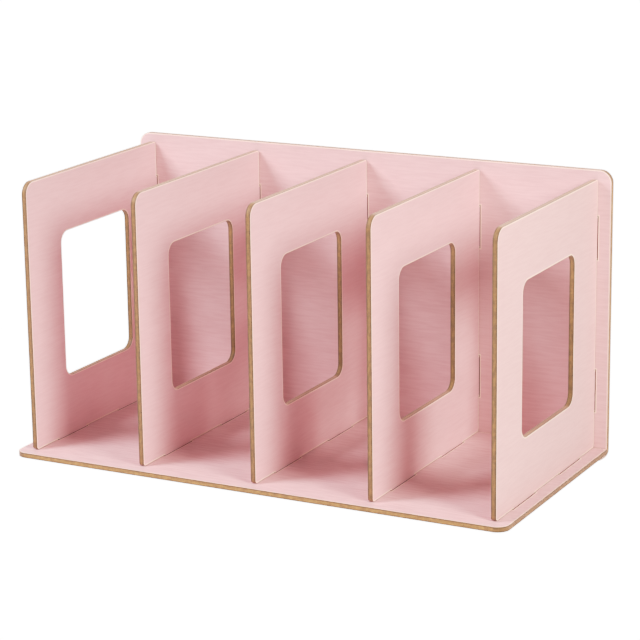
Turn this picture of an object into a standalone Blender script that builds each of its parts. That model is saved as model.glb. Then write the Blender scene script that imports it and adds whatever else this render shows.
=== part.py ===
# Desktop book rack that slots together from seven flat boards, with no fasteners: a base, a back and
# five upright dividers with windows. Metres, +Z up, front towards -Y. The origin is on the desk,
# under the middle of the rack.

import math

import bpy
from mathutils import Vector

# The board that every piece is cut from
BOARD_THICKNESS = 0.0033
SLOT_CLEARANCE = 0.0005  # free space round a tab in its slot
SEAT_GAP = 0.0003  # free space between a shoulder and the face that it comes up to

# Dividers, each measured from its front edge and its lower edge
DIVIDER_COUNT = 5
DIVIDER_PITCH = 0.080
DIVIDER_DEPTH = 0.156
DIVIDER_HEIGHT = 0.1742
FRONT_TOP_ROUNDING = 0.008
SMALL_CORNER_ROUNDING = 0.002
WINDOW_SIDE_MARGIN = 0.0373  # board left in front of a window and behind it
WINDOW_END_MARGIN = 0.039  # board left above a window and below it
WINDOW_ROUNDING = 0.0075

# Tabs at the foot of a divider, which go down through the base and are the rack's feet
FOOT_TAB_INSET = 0.025  # from the front or rear edge to the nearest tab
FOOT_TAB_LENGTH = 0.0335
FOOT_HEIGHT = 0.0055  # how far the tabs and the back reach below the base
FOOT_TAB_ROUNDING = 0.001

# Tabs at the rear of a divider, which end flush with the back's rear face
REAR_TAB_INSET = 0.024  # from the lower or upper edge to the nearest tab
REAR_TAB_LENGTH = 0.027

# Base and back
FRONT_LIP = 0.0084  # base in front of the dividers
END_OVERHANG = 0.0106  # board beyond the middle of an end divider
BACK_RISE = 0.0056  # back above the dividers
PANEL_ROUNDING = 0.008
BASE_TAB_LENGTH = 0.040  # one tab behind each compartment, in a slot of the back

QUARTER_TURN = math.pi / 2
ARC_STEPS = 10  # straight steps in a quarter turn

# Finish of the laminated faces
LAMINATE_COLOUR = (0.83, 0.60, 0.61, 1.0)
LAMINATE_ROUGHNESS = 0.45

# What follows from the values above
PANEL_WIDTH = (DIVIDER_COUNT - 1) * DIVIDER_PITCH + 2 * END_OVERHANG
BASE_DEPTH = FRONT_LIP + DIVIDER_DEPTH
BASE_TOP = FOOT_HEIGHT + BOARD_THICKNESS
DIVIDER_FOOT = BASE_TOP + SEAT_GAP
BACK_HEIGHT = DIVIDER_FOOT + DIVIDER_HEIGHT + BACK_RISE
THROUGH = SEAT_GAP + BOARD_THICKNESS  # from a shoulder to the far face of the board beyond it
RACK_DEPTH = BASE_DEPTH + THROUGH
FRONT_EDGE = -RACK_DEPTH / 2  # of the base
REAR_SHOULDER = FRONT_EDGE + BASE_DEPTH
DIVIDER_FRONT = FRONT_EDGE + FRONT_LIP

DIVIDER_PLACES = [
    (index - (DIVIDER_COUNT - 1) / 2) * DIVIDER_PITCH for index in range(DIVIDER_COUNT)
]
COMPARTMENT_PLACES = [place + DIVIDER_PITCH / 2 for place in DIVIDER_PLACES[:-1]]


def clear_scene():
    for item in list(bpy.data.objects):
        bpy.data.objects.remove(item, do_unlink=True)


def rounded(corners):
    """The points of a closed outline. Each corner is (x, y, radius), and a radius of 0 keeps it sharp."""
    points = []
    for index, (x, y, radius) in enumerate(corners):
        corner = Vector((x, y))
        if not radius:
            points.append(corner)
            continue
        back = (Vector(corners[index - 1][:2]) - corner).normalized()
        ahead = (Vector(corners[(index + 1) % len(corners)][:2]) - corner).normalized()
        half_angle = back.angle(ahead) / 2
        tangent_reach = radius / math.tan(half_angle)
        centre = corner + (back + ahead).normalized() * radius / math.sin(half_angle)
        first = corner + back * tangent_reach - centre
        last = corner + ahead * tangent_reach - centre
        turn = math.atan2(first.x * last.y - first.y * last.x, first.dot(last))
        steps = max(2, round(ARC_STEPS * abs(turn) / QUARTER_TURN))
        for step in range(steps + 1):
            angle = turn * step / steps
            spoke = Vector(
                (
                    first.x * math.cos(angle) - first.y * math.sin(angle),
                    first.x * math.sin(angle) + first.y * math.cos(angle),
                )
            )
            points.append(centre + spoke)
    return points


def rectangle(left, low, right, high, radius=0.0):
    """The outline of a rectangle whose four corners share one radius."""
    return rounded(
        [(left, low, radius), (right, low, radius), (right, high, radius), (left, high, radius)]
    )


def slot(left, low, right, high):
    """The opening that takes a tab of this outline, wider than it by the clearance on each side."""
    return rectangle(
        left - SLOT_CLEARANCE, low - SLOT_CLEARANCE, right + SLOT_CLEARANCE, high + SLOT_CLEARANCE
    )


def pair_along(edge_length, inset, tab_length):
    """(start, end) of two tabs along an edge, each the same inset away from its own end of the edge."""
    last_start = edge_length - inset - tab_length
    return [(inset, inset + tab_length), (last_start, last_start + tab_length)]


FOOT_TABS = pair_along(DIVIDER_DEPTH, FOOT_TAB_INSET, FOOT_TAB_LENGTH)
REAR_TABS = pair_along(DIVIDER_HEIGHT, REAR_TAB_INSET, REAR_TAB_LENGTH)


def laminated_board(name):
    """The pink laminate that faces a board."""
    material = bpy.data.materials.new(name + "_laminate")
    material.use_nodes = True
    shader = material.node_tree.nodes["Principled BSDF"]
    shader.inputs["Base Color"].default_value = LAMINATE_COLOUR
    shader.inputs["Roughness"].default_value = LAMINATE_ROUGHNESS
    shader.inputs["Metallic"].default_value = 0.0
    material.diffuse_color = LAMINATE_COLOUR
    return material


def cut_board(name, outline, openings, location, rotation, rack):
    """A board cut to an outline, with openings through it. Its origin is halfway through its thickness."""
    sheet = bpy.data.curves.new(name, "CURVE")
    sheet.dimensions = "2D"
    sheet.fill_mode = "BOTH"
    sheet.extrude = BOARD_THICKNESS / 2
    for points in [outline, *openings]:
        line = sheet.splines.new("POLY")
        line.points.add(len(points) - 1)
        for target, point in zip(line.points, points):
            target.co = (point.x, point.y, 0.0, 1.0)
        line.use_cyclic_u = True
    sheet.materials.append(laminated_board(name))
    board = bpy.data.objects.new(name, sheet)
    board.location = location
    board.rotation_euler = rotation
    board.parent = rack
    bpy.context.scene.collection.objects.link(board)
    return board


def base_panel(rack):
    """The floor of the rack, laid flat: X across, Y back from its front edge, with tabs into the back."""
    side = PANEL_WIDTH / 2
    corners = [(-side, 0.0, PANEL_ROUNDING), (side, 0.0, PANEL_ROUNDING), (side, BASE_DEPTH, 0.0)]
    for place in reversed(COMPARTMENT_PLACES):
        right = place + BASE_TAB_LENGTH / 2
        left = place - BASE_TAB_LENGTH / 2
        corners += [
            (right, BASE_DEPTH, 0.0),
            (right, BASE_DEPTH + THROUGH, 0.0),
            (left, BASE_DEPTH + THROUGH, 0.0),
            (left, BASE_DEPTH, 0.0),
        ]
    corners.append((-side, BASE_DEPTH, 0.0))
    slots = [
        slot(
            place - BOARD_THICKNESS / 2,
            FRONT_LIP + start,
            place + BOARD_THICKNESS / 2,
            FRONT_LIP + end,
        )
        for place in DIVIDER_PLACES
        for start, end in FOOT_TABS
    ]
    location = (0.0, FRONT_EDGE, FOOT_HEIGHT + BOARD_THICKNESS / 2)
    return cut_board("base_panel", rounded(corners), slots, location, (0.0, 0.0, 0.0), rack)


def back_panel(rack):
    """The back, standing up behind base and dividers: X across, Y up from the desk."""
    side = PANEL_WIDTH / 2
    outline = rectangle(-side, 0.0, side, BACK_HEIGHT, PANEL_ROUNDING)
    divider_slots = [
        slot(
            place - BOARD_THICKNESS / 2,
            DIVIDER_FOOT + start,
            place + BOARD_THICKNESS / 2,
            DIVIDER_FOOT + end,
        )
        for place in DIVIDER_PLACES
        for start, end in REAR_TABS
    ]
    base_slots = [
        slot(
            place - BASE_TAB_LENGTH / 2,
            FOOT_HEIGHT,
            place + BASE_TAB_LENGTH / 2,
            BASE_TOP,
        )
        for place in COMPARTMENT_PLACES
    ]
    location = (0.0, REAR_SHOULDER + SEAT_GAP + BOARD_THICKNESS / 2, 0.0)
    upright = (QUARTER_TURN, 0.0, 0.0)
    return cut_board("back_panel", outline, divider_slots + base_slots, location, upright, rack)


def divider(name, place, rack):
    """An upright divider with a window: X back from its front edge, Y up from its lower edge."""
    desk = -THROUGH - FOOT_HEIGHT
    corners = [(0.0, 0.0, SMALL_CORNER_ROUNDING)]
    for start, end in FOOT_TABS:
        corners += [
            (start, 0.0, 0.0),
            (start, desk, FOOT_TAB_ROUNDING),
            (end, desk, FOOT_TAB_ROUNDING),
            (end, 0.0, 0.0),
        ]
    corners.append((DIVIDER_DEPTH, 0.0, SMALL_CORNER_ROUNDING))
    for start, end in REAR_TABS:
        corners += [
            (DIVIDER_DEPTH, start, 0.0),
            (DIVIDER_DEPTH + THROUGH, start, 0.0),
            (DIVIDER_DEPTH + THROUGH, end, 0.0),
            (DIVIDER_DEPTH, end, 0.0),
        ]
    corners.append((DIVIDER_DEPTH, DIVIDER_HEIGHT, SMALL_CORNER_ROUNDING))
    corners.append((0.0, DIVIDER_HEIGHT, FRONT_TOP_ROUNDING))
    window = rectangle(
        WINDOW_SIDE_MARGIN,
        WINDOW_END_MARGIN,
        DIVIDER_DEPTH - WINDOW_SIDE_MARGIN,
        DIVIDER_HEIGHT - WINDOW_END_MARGIN,
        WINDOW_ROUNDING,
    )
    location = (place, DIVIDER_FRONT, DIVIDER_FOOT)
    edge_on = (QUARTER_TURN, 0.0, QUARTER_TURN)
    return cut_board(name, rounded(corners), [window], location, edge_on, rack)


def build():
    clear_scene()
    rack = bpy.data.objects.new("book_rack", None)
    bpy.context.scene.collection.objects.link(rack)
    base_panel(rack)
    back_panel(rack)
    for index, place in enumerate(DIVIDER_PLACES):
        divider(f"divider_{index + 1}", place, rack)


build()
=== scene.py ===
# Finish of a desktop book rack that slots together from seven thin boards: fine rims, pale pink
# laminate with a faint wood grain on both faces, and bare tan board at the cut edges. Metres,
# +Z up.
import math

import bmesh
import bpy
from bpy.props import FloatProperty, FloatVectorProperty, PointerProperty
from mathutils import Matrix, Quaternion, Vector


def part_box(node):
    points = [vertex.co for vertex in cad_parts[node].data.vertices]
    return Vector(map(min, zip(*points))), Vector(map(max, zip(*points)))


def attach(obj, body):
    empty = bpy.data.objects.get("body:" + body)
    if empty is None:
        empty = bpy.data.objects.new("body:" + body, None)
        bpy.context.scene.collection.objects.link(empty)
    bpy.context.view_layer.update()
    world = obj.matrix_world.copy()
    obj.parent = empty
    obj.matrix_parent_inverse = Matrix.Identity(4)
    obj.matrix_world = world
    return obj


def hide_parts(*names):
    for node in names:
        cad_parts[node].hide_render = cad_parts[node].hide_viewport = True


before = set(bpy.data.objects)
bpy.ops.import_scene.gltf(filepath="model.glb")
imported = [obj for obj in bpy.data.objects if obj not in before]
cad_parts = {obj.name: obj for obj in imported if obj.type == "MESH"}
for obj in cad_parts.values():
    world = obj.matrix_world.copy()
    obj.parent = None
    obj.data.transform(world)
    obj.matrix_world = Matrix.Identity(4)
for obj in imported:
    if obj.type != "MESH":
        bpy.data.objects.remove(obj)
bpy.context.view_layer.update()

bl_info = {
    "name": "Book rack finish",
    "version": (1, 0, 0),
    "blender": (4, 5, 0),
    "location": "3D View > Sidebar > Book rack",
    "description": "Finishes the boards of a slot-together book rack and lights them in a studio",
    "category": "Object",
}

RACK_BODY = "root"
DIVIDERS = sorted(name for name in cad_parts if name.startswith("divider_"))
WHITE = (1.0, 1.0, 1.0)

# Sockets of a Mix node that mixes colours
MIX_SHARE = 0
MIX_FIRST = 6
MIX_SECOND = 7
MIX_RESULT = 2

# The boards' meshes
LAMINATE_SLOT = 0
CUT_EDGE_SLOT = 1
MERGE_DISTANCE = 1e-6
FLAT_ANGLE = math.radians(0.5)  # faces that turn less than this are one flat face
SMOOTH_ANGLE = math.radians(50)
RIM_STEPS = 2
RIM_PROFILE = 0.5  # a round one
SLOT_INSET = 0.0045  # a slot lies further in than this from its board's ends

# What differs from board to board
BASE_GRAIN = 1.7  # how much stronger the grain is on the base than on the back
DIVIDER_GRAIN = 0.65  # and on the dividers
# Painted warm light: the right end board's laminate is tinted creamier, for the warmer light on
# its outer face
WARM_LIT_BOARD = "divider_board_5"  # the right end board is a little creamier than the others
PAINTED_WARM_TINT = (0.975, 0.97, 0.925)
PALE_FRONT = 1.52  # how much paler the base's front edge is than the other cut edges
PALE_ENDS = 1.5  # and the back's left and right edges
DARK_SLOT = 0.35  # share of the usual tone that the walls of a slot have

# Painted shade: a tab is this dark inside its slot, where little light gets in. The shade sets in
# over the first two depths and ends over the last two.
JOINT_SHADE = (0.20, 0.075, 0.105)
JOINT_MOUTH = (-0.00005, 0.0001)
JOINT_END = (0.0030, 0.0032)
NOT_IN_JOINT = -1.0  # the depth of points whose board goes into no slot there

# The laminate's patterns. Sizes are along the grain, across it and through the board, and levels
# are those of an even noise between which a pattern sets in.
NOISE_MIDDLE = 0.5
USUAL_LEVELS = (0.3, 0.7)  # most of the noise lies between these
WAVE_SIZE = (0.060, 0.012, 0.012)  # slow waves that bend the grain
WAVE_REACH = (0.004, 0.004, 0.0)
LINE_LEVELS = (0.35, 0.68)
BAND_SIZE = (0.25, 0.014, 0.014)
PORE_SIZE = (0.0030, 0.00028, 0.00028)
PORE_LEVELS = (0.66, 0.78)
LINE_TONE = 0.75  # share of the lines in the grain's tone, then of the bands and the pores
BAND_TONE = 0.15
PORE_TONE = 0.25
USUAL_TONE = 0.42  # the grain's tone on average, between plain colour and grain colour
# Painted highlight: the laminate is painted pale along its cut edges, for the light that the rims
# catch
PAINTED_HIGHLIGHT_FADE = (0.02, 0.3)  # part of its border in which the laminate turns pale; 1 is its edge
SMUDGE_SIZE = (0.035, 0.025, 0.025)  # patches of uneven gloss
SMUDGE_LEVELS = (0.25, 0.75)
SMUDGE_ROUGHNESS = 0.045  # how much rougher or smoother they are than usual
LINE_ROUGHNESS = 0.03
LINE_HEIGHT = -0.4
PORE_HEIGHT = -0.6
LAMINATE_RELIEF = {"Strength": 0.12, "Distance": 0.00003}
LAMINATE_IOR = 1.46

# The cut edge's patterns, given in the same way. Its layers are shares of the way from the middle
# of the board to its faces.
MARK_SIZE = (0.0009, 0.0009, 0.020)  # marks of the cutting, straight through the board
FIBRE_SIZE = (0.0007, 0.0007, 0.00025)
BLOTCH_SIZE = (0.0035, 0.0035, 0.0012)
LAYER_WAVER = 0.12
DENSE_LAYER = (0.38, 0.72)
PAPER_LAYER = (0.93, 1.0)
SHADE_TONES = (0.74, 1.24)
BLOTCH_TONES = (0.74, 1.22)
CUT_ROUGHNESS = (0.5, 0.62)
CUT_RELIEF = {"Strength": 0.35, "Distance": 0.00008}
CUT_IOR = 1.4
FIBRE_SHEEN = 0.9
FIBRE_SHEEN_ROUGHNESS = 0.5

# Camera and lights. Angles run from the front towards the right, and up from the table. A soft
# box's spread is the angle that it fills, seen from the rack.
AIM = Vector((0.03609, -0.05345, 0.11142))
CAMERA_AZIMUTH = math.radians(27.665)
CAMERA_ELEVATION = math.radians(14.819)
CAMERA_ROLL = math.radians(-0.776)
CAMERA_DISTANCE = 1.45
SENSOR_WIDTH = 36.0
CLIP_END = 100.0
LIT_POINT = Vector((0.0, 0.0, 0.09))
LEFT_PLACE = (math.radians(-46), math.radians(40))
LEFT_DISTANCE = 1.2
LEFT_SPREAD = math.radians(24)
RIGHT_PLACE = (math.radians(69), math.radians(28))
RIGHT_DISTANCE = 1.2
RIGHT_SPREAD = math.radians(24)
REAR_PLACE = (math.radians(180), math.radians(4))  # low, so that the back shades what is before it
REAR_DISTANCE = 1.4
REAR_SPREAD = math.radians(15)

# Table, room and highlights
SEEN_WHITE = 2.02  # just above the level that shows as white
TABLE_CORNERS = 96
TABLE_DROP = 0.0001
TABLE_COLOUR = (0.9, 0.9, 0.9)
TABLE_ROUGHNESS = 0.9
COMBINED_CURVE = 3  # the curve for red, green and blue together
HIGHLIGHT_KNEE = 0.4
HIGHLIGHT_WHITE = 2.0
HIGHLIGHT_STEPS = 5


class BoardSizes(bpy.types.PropertyGroup):
    """How the boards are cut."""

    rim: FloatProperty(
        name="Rim",
        description="Rounding where a flat face meets a cut edge",
        default=0.00015,
        min=0.00002,
        unit="LENGTH",
        precision=5,
    )
    # Painted highlight: the pale line along each cut edge stands in for the light that the rims
    # catch
    painted_highlight_width: FloatProperty(
        name="Bleached width",
        description="Width of the paler line that cutting leaves along each edge of the laminate",
        default=0.0008,
        min=0.0001,
        max=0.0008,
        unit="LENGTH",
        precision=5,
    )
    sheet_step: FloatProperty(
        name="Sheet step",
        description="How far apart on the printed sheet two boards are cut",
        default=0.43,
        unit="LENGTH",
    )


class LaminateLook(bpy.types.PropertyGroup):
    """The printed laminate on both faces of a board."""

    colour: FloatVectorProperty(
        name="Colour",
        description="Main colour of the laminate",
        subtype="COLOR",
        default=(0.823, 0.542, 0.547),
        min=0.0,
        max=1.0,
    )
    grain_colour: FloatVectorProperty(
        name="Grain colour",
        description="Colour of the printed grain lines",
        subtype="COLOR",
        default=(0.740, 0.454, 0.463),
        min=0.0,
        max=1.0,
    )
    # Colour of the painted highlight along the laminate's cut edges
    painted_highlight_colour: FloatVectorProperty(
        name="Bleached colour",
        description="Colour of the laminate along its cut edges",
        subtype="COLOR",
        default=(1.0, 0.78, 0.67),
        min=0.0,
        max=1.0,
    )
    grain_length: FloatProperty(
        name="Grain length",
        description="Usual length of a grain line",
        default=0.018,
        unit="LENGTH",
    )
    grain_spacing: FloatProperty(
        name="Grain spacing",
        description="Usual distance between grain lines",
        default=0.0016,
        unit="LENGTH",
        precision=5,
    )
    roughness: FloatProperty(
        name="Roughness",
        description="Satin of the laminate",
        default=0.46,
        min=0.0,
        max=1.0,
    )


class CutEdgeLook(bpy.types.PropertyGroup):
    """The bare density board at a cut edge, from its middle out to the laminate."""

    core_colour: FloatVectorProperty(
        name="Core colour",
        description="Middle of the board",
        subtype="COLOR",
        default=(0.240, 0.130, 0.041),
        min=0.0,
        max=1.0,
    )
    dense_colour: FloatVectorProperty(
        name="Dense layer colour",
        description="Darker, denser board just inside each face",
        subtype="COLOR",
        default=(0.108, 0.060, 0.020),
        min=0.0,
        max=1.0,
    )
    paper_colour: FloatVectorProperty(
        name="Paper colour",
        description="Edge of the printed laminate",
        subtype="COLOR",
        default=(0.42, 0.26, 0.16),
        min=0.0,
        max=1.0,
    )
    fibre_colour: FloatVectorProperty(
        name="Fibre colour",
        description="Pale fibres that show where the cut edge is seen at a low angle",
        subtype="COLOR",
        default=(0.88, 0.595, 0.52),
        min=0.0,
        max=1.0,
    )


class StudioSettings(bpy.types.PropertyGroup):
    """White table, soft boxes and camera."""

    floor_radius: FloatProperty(
        name="Floor radius",
        description="Radius of the white table",
        default=12.0,
        unit="LENGTH",
    )
    left_power: FloatProperty(
        name="Left light",
        description="Power of the soft box high on the left",
        default=19.0,
        min=0.0,
    )
    left_colour: FloatVectorProperty(
        name="Left colour",
        description="Colour of the left light",
        subtype="COLOR",
        default=(1.0, 0.877, 0.904),
    )
    right_power: FloatProperty(
        name="Right light",
        description="Power of the soft box on the right",
        default=17.9,
        min=0.0,
    )
    right_colour: FloatVectorProperty(
        name="Right colour",
        description="Colour of the right light",
        subtype="COLOR",
        default=(1.0, 0.893, 0.849),
    )
    rear_power: FloatProperty(
        name="Rear light",
        description="Power of the soft box low behind the rack",
        default=11.5,
        min=0.0,
    )
    rear_colour: FloatVectorProperty(
        name="Rear colour",
        description="Colour of the rear light",
        subtype="COLOR",
        default=(1.0, 0.885, 0.875),
    )
    mirrored_room: FloatProperty(
        name="Mirrored room",
        description="Brightness of the white room in glossy reflections",
        default=1.4,
        min=0.0,
    )
    lens: FloatProperty(
        name="Lens",
        description="Focal length in millimetres",
        default=135.34,
    )


def start_clean():
    """Nothing selected or being edited, so that the next operator acts on its own object."""
    if bpy.context.object and bpy.context.object.mode != "OBJECT":
        bpy.ops.object.mode_set(mode="OBJECT")
    bpy.ops.object.select_all(action="DESELECT")


def pick(thing):
    """Selects one object alone and makes it active."""
    start_clean()
    thing.select_set(True)
    bpy.context.view_layer.objects.active = thing


def feed(tree, node, inputs):
    """Gives a node's inputs, by name or number, each a value or the socket that feeds it."""
    for key, value in inputs.items():
        if isinstance(value, bpy.types.NodeSocket):
            tree.links.new(value, node.inputs[key])
        else:
            node.inputs[key].default_value = value


def add_node(tree, kind, inputs=None, **settings):
    node = tree.nodes.new(kind)
    for name, value in settings.items():
        setattr(node, name, value)
    feed(tree, node, inputs or {})
    return node


def new_material(name):
    material = bpy.data.materials.new(name)
    material.use_nodes = True
    return material, material.node_tree, material.node_tree.nodes["Principled BSDF"]


def opaque(colour):
    return (*colour, 1.0)


def calculate(tree, operation, *values):
    """A calculation on numbers, each one a value or a socket."""
    inputs = dict(enumerate(values))
    return add_node(tree, "ShaderNodeMath", inputs, operation=operation).outputs[0]


def calculate_each(tree, operation, *values):
    """The same on colours or places, for each of their three parts."""
    inputs = dict(enumerate(values))
    return add_node(tree, "ShaderNodeVectorMath", inputs, operation=operation).outputs[0]


def between(tree, value, low, high, to_low=0.0, to_high=1.0, smooth=True):
    """Takes a value from one range to another, and holds it at the ends."""
    inputs = {"Value": value, 1: low, 2: high, 3: to_low, 4: to_high}
    kind = "SMOOTHSTEP" if smooth else "LINEAR"
    node = add_node(tree, "ShaderNodeMapRange", inputs, interpolation_type=kind)
    return node.outputs["Result"]


def blended(tree, share, first, second):
    """One colour passing into another as the share goes from 0 to 1."""
    inputs = {MIX_SHARE: share, MIX_FIRST: first, MIX_SECOND: second}
    return add_node(tree, "ShaderNodeMix", inputs, data_type="RGBA").outputs[MIX_RESULT]


def stored(tree, name, output="Fac"):
    """What record_places stores on the boards under this name."""
    return add_node(tree, "ShaderNodeAttribute", attribute_name=name).outputs[output]


def pattern(tree, place, size, detail=2.0, roughness=0.5, output="Fac"):
    """Even noise between 0 and 1 whose features have this size along each way of the sheet."""
    scale = [1 / length for length in size]
    counted = add_node(tree, "ShaderNodeMapping", {"Vector": place, "Scale": scale})
    inputs = {
        "Vector": counted.outputs["Vector"],
        "Scale": 1.0,
        "Detail": detail,
        "Roughness": roughness,
    }
    return add_node(tree, "ShaderNodeTexNoise", inputs, normalize=True).outputs[output]


def relief(tree, height, depth):
    return add_node(tree, "ShaderNodeBump", {"Height": height, **depth}).outputs["Normal"]


def shaded_in_joints(tree, colour):
    """A colour with painted shade where a tab is inside its slot, in the back or in the base."""
    depths = add_node(tree, "ShaderNodeSeparateXYZ", {0: stored(tree, "sunk", "Vector")}).outputs
    shares = []
    for depth in (depths[0], depths[1]):
        past_mouth = between(tree, depth, *JOINT_MOUTH)
        before_end = between(tree, depth, *JOINT_END, to_low=1.0, to_high=0.0)
        shares.append(calculate(tree, "MULTIPLY", past_mouth, before_end))
    share = calculate(tree, "MAXIMUM", *shares)
    shade = blended(tree, share, opaque(WHITE), opaque(JOINT_SHADE))
    return calculate_each(tree, "MULTIPLY", colour, shade)


def laminate():
    """Satin printed laminate with a faint wood grain, and a painted highlight along its cut edges.
    """
    look = bpy.context.scene.rack_laminate
    material, tree, shader = new_material("pink_laminate")
    place = stored(tree, "sheet_place", "Vector")

    waves = pattern(tree, place, WAVE_SIZE, output="Color")
    waves = calculate_each(tree, "SUBTRACT", waves, (NOISE_MIDDLE,) * 3)
    wavy = calculate_each(tree, "MULTIPLY_ADD", waves, WAVE_REACH, place)
    line_size = (look.grain_length, look.grain_spacing, look.grain_spacing)
    lines = pattern(tree, wavy, line_size, detail=3.0, roughness=0.6)
    bands = pattern(tree, wavy, BAND_SIZE, detail=1.0)
    pores = pattern(tree, wavy, PORE_SIZE, detail=1.0)

    line_tone = between(tree, lines, *LINE_LEVELS)
    band_tone = between(tree, bands, *USUAL_LEVELS)
    pore_tone = between(tree, pores, *PORE_LEVELS)
    tone = calculate(tree, "MULTIPLY", line_tone, LINE_TONE)
    tone = calculate(tree, "MULTIPLY_ADD", band_tone, BAND_TONE, tone)
    tone = calculate(tree, "MULTIPLY_ADD", pore_tone, PORE_TONE, tone)
    unusual = calculate(tree, "SUBTRACT", tone, USUAL_TONE)
    tone = calculate(tree, "MULTIPLY_ADD", unusual, stored(tree, "grain"), USUAL_TONE)
    printed = blended(tree, tone, opaque(look.colour), opaque(look.grain_colour))

    # Painted highlight: a pale line along each cut edge of the laminate
    painted_highlight_share = between(tree, stored(tree, "near_edge"), *PAINTED_HIGHLIGHT_FADE)
    colour = blended(tree, painted_highlight_share, printed, opaque(look.painted_highlight_colour))
    # Painted warm light: the right end board is tinted creamier, for the warmer light that falls
    # on it
    warm_light_tint = blended(tree, stored(tree, "painted_warm_light"), opaque(WHITE), opaque(PAINTED_WARM_TINT))
    colour = calculate_each(tree, "MULTIPLY", colour, warm_light_tint)

    smudges = pattern(tree, place, SMUDGE_SIZE, detail=3.0)
    smoother = look.roughness - SMUDGE_ROUGHNESS
    rougher = look.roughness + SMUDGE_ROUGHNESS
    satin = between(tree, smudges, *SMUDGE_LEVELS, smoother, rougher)
    satin = calculate(tree, "MULTIPLY_ADD", line_tone, LINE_ROUGHNESS, satin)

    height = calculate(tree, "MULTIPLY", line_tone, LINE_HEIGHT)
    height = calculate(tree, "MULTIPLY_ADD", pore_tone, PORE_HEIGHT, height)
    feed(
        tree,
        shader,
        {
            "Base Color": shaded_in_joints(tree, colour),
            "Roughness": satin,
            "Normal": relief(tree, height, LAMINATE_RELIEF),
            "IOR": LAMINATE_IOR,
        },
    )
    return material


def cut_edge():
    """Cut density board: laminate at both faces, denser darker board inside them, a tan middle."""
    look = bpy.context.scene.rack_cut_edge
    material, tree, shader = new_material("cut_board")
    place = stored(tree, "sheet_place", "Vector")

    marks = pattern(tree, place, MARK_SIZE, roughness=0.6)
    fibres = pattern(tree, place, FIBRE_SIZE, detail=3.0, roughness=0.65)
    blotches = pattern(tree, place, BLOTCH_SIZE)

    waver = calculate(tree, "MULTIPLY_ADD", fibres, LAYER_WAVER, -LAYER_WAVER / 2)
    layer = calculate(tree, "ADD", calculate(tree, "ABSOLUTE", stored(tree, "through")), waver)
    dense = between(tree, layer, *DENSE_LAYER)
    board = blended(tree, dense, opaque(look.core_colour), opaque(look.dense_colour))
    paper = between(tree, layer, *PAPER_LAYER)
    board = blended(tree, paper, board, opaque(look.paper_colour))

    half_marks = calculate(tree, "MULTIPLY", marks, 0.5)
    shade = calculate(tree, "MULTIPLY_ADD", fibres, 0.5, half_marks)
    tone = between(tree, shade, *USUAL_LEVELS, *SHADE_TONES, smooth=False)
    blotch_tone = between(tree, blotches, *USUAL_LEVELS, *BLOTCH_TONES)
    tone = calculate(tree, "MULTIPLY", tone, blotch_tone)
    tone = calculate(tree, "MULTIPLY", tone, stored(tree, "cut_tone"))
    colour = calculate_each(tree, "MULTIPLY", board, tone)
    feed(
        tree,
        shader,
        {
            "Base Color": shaded_in_joints(tree, colour),
            "Roughness": between(tree, shade, *USUAL_LEVELS, *CUT_ROUGHNESS),
            "Normal": relief(tree, shade, CUT_RELIEF),
            "IOR": CUT_IOR,
            "Sheen Weight": FIBRE_SHEEN,
            "Sheen Roughness": FIBRE_SHEEN_ROUGHNESS,
            "Sheen Tint": opaque(look.fibre_colour),
        },
    )
    return material


def shared_material(name, make):
    return bpy.data.materials.get(name) or make()


def board_axes(node_name):
    """The axes along the grain, across it and through the board. A board is thinnest through, and
    its grain follows the first of the other two: across the rack on base and back, front to back
    on dividers."""
    low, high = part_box(node_name)
    sides = [top - bottom for bottom, top in zip(low, high)]
    through = sides.index(min(sides))
    along, across = [axis for axis in range(3) if axis != through]
    return along, across, through


def is_flat_face(face, through):
    return abs(face.normal[through]) > math.cos(FLAT_ANGLE)


def copy_of_node(node_name, piece_name):
    """A copy of a packed board, left in edit mode. Its loose triangles are merged, and its flat
    faces made whole."""
    start_clean()
    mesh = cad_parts[node_name].data.copy()
    mesh.materials.clear()
    board = bpy.data.objects.new(piece_name, mesh)
    bpy.context.scene.collection.objects.link(board)
    pick(board)
    bpy.ops.object.mode_set(mode="EDIT")
    bpy.ops.mesh.select_mode(type="EDGE")
    bpy.ops.mesh.select_all(action="SELECT")
    bpy.ops.mesh.remove_doubles(threshold=MERGE_DISTANCE)
    bpy.ops.mesh.customdata_custom_splitnormals_clear()
    bpy.ops.mesh.dissolve_limited(angle_limit=FLAT_ANGLE)
    return board


def round_rims(board, through, width):
    """Rounds every edge between a flat face and a cut edge."""
    bpy.ops.mesh.select_all(action="DESELECT")
    edit = bmesh.from_edit_mesh(board.data)
    for edge in edit.edges:
        flat = [is_flat_face(face, through) for face in edge.link_faces]
        edge.select = any(flat) and not all(flat)
    edit.select_flush_mode()
    bmesh.update_edit_mesh(board.data)
    bpy.ops.mesh.bevel(
        offset=width,
        segments=RIM_STEPS,
        profile=RIM_PROFILE,
        affect="EDGES",
        loop_slide=False,
        clamp_overlap=False,
    )


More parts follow.
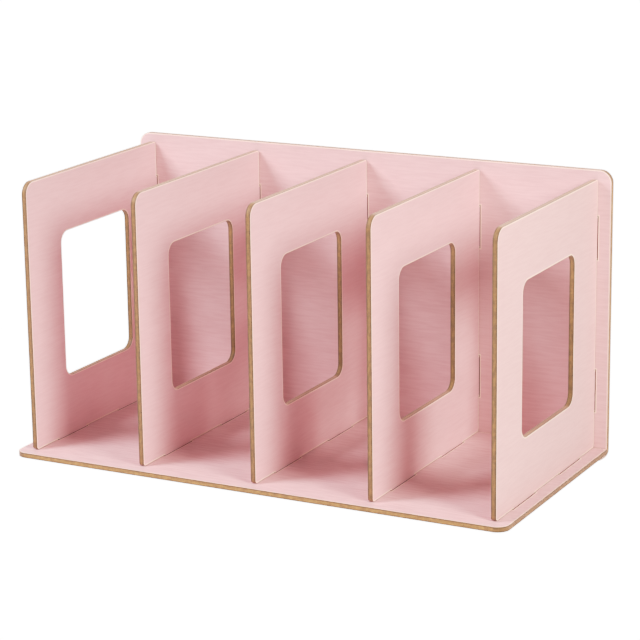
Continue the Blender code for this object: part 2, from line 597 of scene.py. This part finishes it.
def line_the_edges(board, through, width):
    """Adds a narrow border to the flat faces along every cut edge, for the painted highlight
    there. What lies inside the border is filled afresh, since its old seams would cross the
    borders of slots that they pass closely. Leaves edit mode, and tells for each point whether it
    lies on the border's inner side."""
    bpy.ops.mesh.select_mode(type="FACE")
    bpy.ops.mesh.select_all(action="DESELECT")
    edit = bmesh.from_edit_mesh(board.data)
    for face in edit.faces:
        face.select_set(is_flat_face(face, through))
    bmesh.update_edit_mesh(board.data)
    bpy.ops.mesh.inset(thickness=width, depth=0.0, use_boundary=True, use_even_offset=True)
    bpy.ops.mesh.delete(type="FACE")
    bpy.ops.mesh.select_mode(type="EDGE")
    inner = [vertex.is_boundary for vertex in bmesh.from_edit_mesh(board.data).verts]
    for side in (-1, 1):
        edit = bmesh.from_edit_mesh(board.data)
        for edge in edit.edges:
            edge.select_set(edge.is_boundary and edge.link_faces[0].normal[through] * side > 0)
        bpy.ops.mesh.fill(use_beauty=True)
    bpy.ops.mesh.select_all(action="SELECT")
    bpy.ops.mesh.normals_make_consistent(inside=False)
    bpy.ops.object.mode_set(mode="OBJECT")
    return inner


def cut_tones(board, points, along, across):
    """How bright the cut edge is at each point: paler at the base's front and at the back's left
    and right ends, dark inside slots."""
    ends = {
        axis: (min(point[axis] for point in points), max(point[axis] for point in points))
        for axis in (along, across)
    }

    def within(point, axis, margin):
        low, high = ends[axis]
        return low + margin < point[axis] < high - margin

    tones = []
    for point in points:
        inside = within(point, along, SLOT_INSET) and within(point, across, SLOT_INSET)
        if inside and not board.name.startswith("divider"):
            tones.append(DARK_SLOT)
        elif board.name == "base_board" and point[across] < ends[across][0] + MERGE_DISTANCE:
            tones.append(PALE_FRONT)
        elif board.name == "back_board" and not within(point, along, MERGE_DISTANCE):
            tones.append(PALE_ENDS)
        else:
            tones.append(1.0)
    return tones


def store(mesh, name, numbers):
    """Stores one number of every point, or three, under a name that materials can read."""
    one_each = len(numbers) == len(mesh.vertices)
    kind, field = ("FLOAT", "value") if one_each else ("FLOAT_VECTOR", "vector")
    mesh.attributes.new(name, kind, "POINT").data.foreach_set(field, numbers)


def record_places(board, axes, inner, sheet_offset):
    """Stores where each point lies on the printed sheet and in the board's thickness, how near it
    is to a cut edge, how bright that is, how deep the point is in a joint, whether its board gets
    the painted warm light, and how grained its board is."""
    mesh = board.data
    along, across, through = axes
    points = [vertex.co for vertex in mesh.vertices]
    middle = sum(point[through] for point in points) / len(points)
    half = max(abs(point[through] - middle) for point in points)
    back_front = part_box("back_panel")[0][1]
    base_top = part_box("base_panel")[1][2]
    places, depths = [], []
    for point in points:
        places += (point[along] + sheet_offset, point[across], point[through] - middle)
        into_back = NOT_IN_JOINT if board.name == "back_board" else point.y - back_front
        into_base = base_top - point.z if board.name.startswith("divider") else NOT_IN_JOINT
        depths += (into_back, into_base, 0.0)
    grain = {"base_board": BASE_GRAIN, "back_board": 1.0}.get(board.name, DIVIDER_GRAIN)
    store(mesh, "sheet_place", places)
    store(mesh, "through", [(point[through] - middle) / half for point in points])
    store(mesh, "near_edge", [0.0 if is_inner else 1.0 for is_inner in inner])
    store(mesh, "cut_tone", cut_tones(board, points, along, across))
    store(mesh, "sunk", depths)
    store(mesh, "painted_warm_light", [float(board.name == WARM_LIT_BOARD)] * len(points))
    store(mesh, "grain", [grain] * len(points))


def finish_faces(board, through):
    """Laminate on the flat faces, bare board on the cut edges, and even shading over the rims."""
    board.data.materials.append(shared_material("pink_laminate", laminate))
    board.data.materials.append(shared_material("cut_board", cut_edge))
    for face in board.data.polygons:
        face.material_index = LAMINATE_SLOT if is_flat_face(face, through) else CUT_EDGE_SLOT
    pick(board)
    bpy.ops.object.shade_smooth_by_angle(angle=SMOOTH_ANGLE)
    weighting = board.modifiers.new("even_shading", "WEIGHTED_NORMAL")
    weighting.keep_sharp = True
    bpy.ops.object.modifier_apply(modifier=weighting.name)


def finished_board(node_name, piece_name):
    """A board of the rack with its rims, finish and grain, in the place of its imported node."""
    sizes = bpy.context.scene.rack_boards
    axes = board_axes(node_name)
    through = axes[2]
    number = sorted(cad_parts).index(node_name)
    board = copy_of_node(node_name, piece_name)
    round_rims(board, through, sizes.rim)
    inner = line_the_edges(board, through, sizes.painted_highlight_width)
    record_places(board, axes, inner, number * sizes.sheet_step)
    finish_faces(board, through)
    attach(board, RACK_BODY)
    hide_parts(node_name)


class RACK_OT_make_base(bpy.types.Operator):
    """Finish the flat base that the dividers stand in"""

    bl_idname = "rack.make_base"
    bl_label = "Base board"

    def execute(self, context):
        finished_board("base_panel", "base_board")
        return {"FINISHED"}


class RACK_OT_make_back(bpy.types.Operator):
    """Finish the upright back with its slots"""

    bl_idname = "rack.make_back"
    bl_label = "Back board"

    def execute(self, context):
        finished_board("back_panel", "back_board")
        return {"FINISHED"}


class RACK_OT_make_dividers(bpy.types.Operator):
    """Finish the upright dividers with their windows and tabs"""

    bl_idname = "rack.make_dividers"
    bl_label = "Dividers"

    def execute(self, context):
        for name in DIVIDERS:
            finished_board(name, name.replace("divider", "divider_board"))
        return {"FINISHED"}


def direction(azimuth, elevation):
    """The way from the rack towards a place on a sphere round it. Azimuth 0 is the front."""
    level = math.cos(elevation)
    right, front = math.sin(azimuth) * level, math.cos(azimuth) * level
    return Vector((right, -front, math.sin(elevation)))


def white_floor(radius):
    """A round white table top, just under the rack's feet. It looks evenly white, and reflects
    light."""
    start_clean()
    bpy.ops.mesh.primitive_circle_add(
        vertices=TABLE_CORNERS, radius=radius, fill_type="NGON", location=(0.0, 0.0, -TABLE_DROP)
    )
    floor = bpy.context.object
    floor.name = "white_table"
    bpy.ops.object.transform_apply(location=True, rotation=True, scale=True)
    material, tree, shader = new_material("white_table")
    feed(tree, shader, {"Base Color": opaque(TABLE_COLOUR), "Roughness": TABLE_ROUGHNESS})
    seen = add_node(tree, "ShaderNodeLightPath").outputs["Is Camera Ray"]
    white = add_node(tree, "ShaderNodeEmission", {"Strength": SEEN_WHITE}).outputs[0]
    surface = add_node(tree, "ShaderNodeMixShader", {0: seen, 1: shader.outputs[0], 2: white})
    feed(tree, tree.nodes["Material Output"], {"Surface": surface.outputs[0]})
    floor.data.materials.append(material)


def soft_box(name, place, distance, spread, power, colour):
    """A round soft box that faces the rack."""
    start_clean()
    towards = direction(*place)
    turn = towards.to_track_quat("Z", "Y")
    bpy.ops.object.light_add(
        type="AREA", location=LIT_POINT + towards * distance, rotation=turn.to_euler()
    )
    lamp = bpy.context.object
    lamp.name = name
    lamp.data.shape = "DISK"
    lamp.data.size = 2 * distance * math.tan(spread / 2)
    lamp.data.energy = power
    lamp.data.color = colour


def place_camera(lens):
    """The camera stands to the right of the front, a little above, and is tilted very slightly."""
    start_clean()
    towards = direction(CAMERA_AZIMUTH, CAMERA_ELEVATION)
    turn = towards.to_track_quat("Z", "Y") @ Quaternion((0, 0, 1), CAMERA_ROLL)
    bpy.ops.object.camera_add(
        location=AIM + towards * CAMERA_DISTANCE, rotation=turn.to_euler()
    )
    camera = bpy.context.object
    camera.name = "camera"
    camera.data.sensor_fit = "HORIZONTAL"
    camera.data.sensor_width = SENSOR_WIDTH
    camera.data.lens = lens
    camera.data.clip_end = CLIP_END
    bpy.context.scene.camera = camera


def white_room(mirrored, seen):
    """A white room round the table. It looks white and shows in glossy reflections, but lights
    nothing."""
    world = bpy.data.worlds.new("white_room")
    bpy.context.scene.world = world
    world.cycles.sampling_method = "NONE"
    world.use_nodes = True
    tree = world.node_tree
    ray = add_node(tree, "ShaderNodeLightPath").outputs
    level = calculate(tree, "MULTIPLY", ray["Is Camera Ray"], seen)
    level = calculate(tree, "MULTIPLY_ADD", ray["Is Glossy Ray"], mirrored, level)
    feed(tree, tree.nodes["Background"], {"Strength": level, "Color": opaque(WHITE)})


def soft_highlights(knee, white):
    """Rolls the highlights off as a camera does: straight up to the knee, then softly to white."""
    view = bpy.context.scene.view_settings
    view.view_transform = "Standard"
    view.use_curve_mapping = True
    mapping = view.curve_mapping
    mapping.white_level = (white, white, white)
    curve = mapping.curves[COMBINED_CURVE]
    curve.points.new(knee / white, knee)
    room = 1 - knee
    bend = (white - 1) / room
    for step in range(1, HIGHLIGHT_STEPS):
        share = step / HIGHLIGHT_STEPS
        level = knee + room * (share + bend * share**2)
        curve.points.new(level / white, knee + room * share)
    mapping.update()


class RACK_OT_make_studio(bpy.types.Operator):
    """Set up the white table, the soft boxes and the camera"""

    bl_idname = "rack.make_studio"
    bl_label = "Studio"

    def execute(self, context):
        studio = context.scene.rack_studio
        white_floor(studio.floor_radius)
        soft_box(
            "left_soft_box",
            LEFT_PLACE,
            LEFT_DISTANCE,
            LEFT_SPREAD,
            studio.left_power,
            studio.left_colour,
        )
        soft_box(
            "right_soft_box",
            RIGHT_PLACE,
            RIGHT_DISTANCE,
            RIGHT_SPREAD,
            studio.right_power,
            studio.right_colour,
        )
        soft_box(
            "rear_soft_box",
            REAR_PLACE,
            REAR_DISTANCE,
            REAR_SPREAD,
            studio.rear_power,
            studio.rear_colour,
        )
        white_room(studio.mirrored_room, SEEN_WHITE)
        place_camera(studio.lens)
        soft_highlights(HIGHLIGHT_KNEE, HIGHLIGHT_WHITE)
        return {"FINISHED"}


class RACK_PT_panel(bpy.types.Panel):
    """The steps that finish the rack, in order"""

    bl_idname = "RACK_PT_panel"
    bl_label = "Book rack"
    bl_space_type = "VIEW_3D"
    bl_region_type = "UI"
    bl_category = "Book rack"

    def draw(self, context):
        for step in STEPS:
            self.layout.operator(step.bl_idname)


SETTINGS = {
    "rack_boards": BoardSizes,
    "rack_laminate": LaminateLook,
    "rack_cut_edge": CutEdgeLook,
    "rack_studio": StudioSettings,
}
STEPS = (RACK_OT_make_base, RACK_OT_make_back, RACK_OT_make_dividers, RACK_OT_make_studio)
CLASSES = (*SETTINGS.values(), *STEPS, RACK_PT_panel)


def register():
    for cls in CLASSES:
        bpy.utils.register_class(cls)
    for name, group in SETTINGS.items():
        setattr(bpy.types.Scene, name, PointerProperty(type=group))


def unregister():
    for name in SETTINGS:
        delattr(bpy.types.Scene, name)
    for cls in reversed(CLASSES):
        bpy.utils.unregister_class(cls)


def main():
    register()
    bpy.ops.rack.make_base()
    bpy.ops.rack.make_back()
    bpy.ops.rack.make_dividers()
    bpy.ops.rack.make_studio()


if __name__ == "__main__":
    main()
